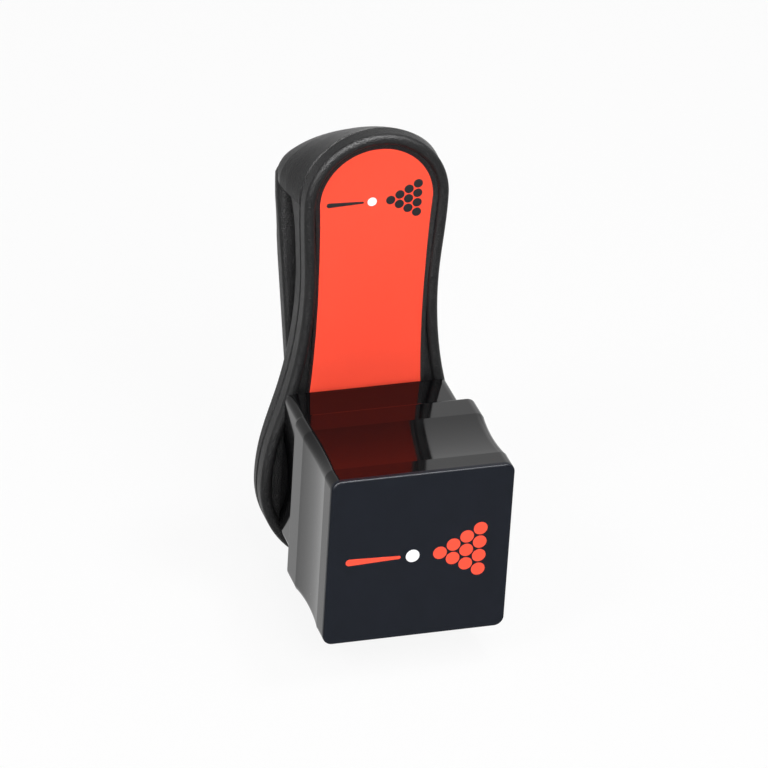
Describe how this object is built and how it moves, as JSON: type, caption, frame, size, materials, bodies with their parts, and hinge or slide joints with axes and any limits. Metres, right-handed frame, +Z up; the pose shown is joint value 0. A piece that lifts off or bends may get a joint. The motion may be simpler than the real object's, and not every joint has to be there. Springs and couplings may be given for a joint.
{
  "type": "chalk holder",
  "caption": "Belt clip with an arched red front inlay that carries a square chalk tray under a pull-off cap, held on by a magnet.",
  "frame": {"origin": "belt seat: the top of the belt gap on the centre plane, midway between clip plate and spring leg", "axes": "+Z up along the clip, -Y out of the front (the way the cap pulls off), +X to the right seen from the front"},
  "size_m": [0.0336, 0.0474, 0.0793],
  "materials": {
    "clip_plastic": "fine satin grain",
    "red_inlay": "matt",
    "magnet_plating": "nickel plated",
    "gloss_black": "polished",
    "keeper_steel": "zinc plated",
    "panel_black": "satin"
  },
  "bodies": {
    "clip": {"clip_body": "clip_plastic", "front_cover": "clip_plastic", "red_inlay": "red_inlay", "dock_magnet": "magnet_plating"},
    "leg": {"clip_leg": "clip_plastic"},
    "tray": {"chalk_tray": "gloss_black", "keeper_disc": "keeper_steel"},
    "cap": {"cap": "gloss_black", "front_panel": "panel_black"}
  },
  "joints": [
    {"name": "leg_flex", "type": "hinge", "parent": "clip", "child": "leg", "pos_m": [0, 0.0046, 0], "axis": [1, 0, 0], "range_deg": [0, 8], "stiffness_Nm_per_rad": 2.5},
    {"name": "tray_pull", "type": "slide", "parent": "clip", "child": "tray", "axis": [0, -1, 0], "range_m": [0, 0.03]},
    {"name": "cap_pull", "type": "slide", "parent": "tray", "child": "cap", "axis": [0, -1, 0], "range_m": [0, 0.03]}
  ]
}
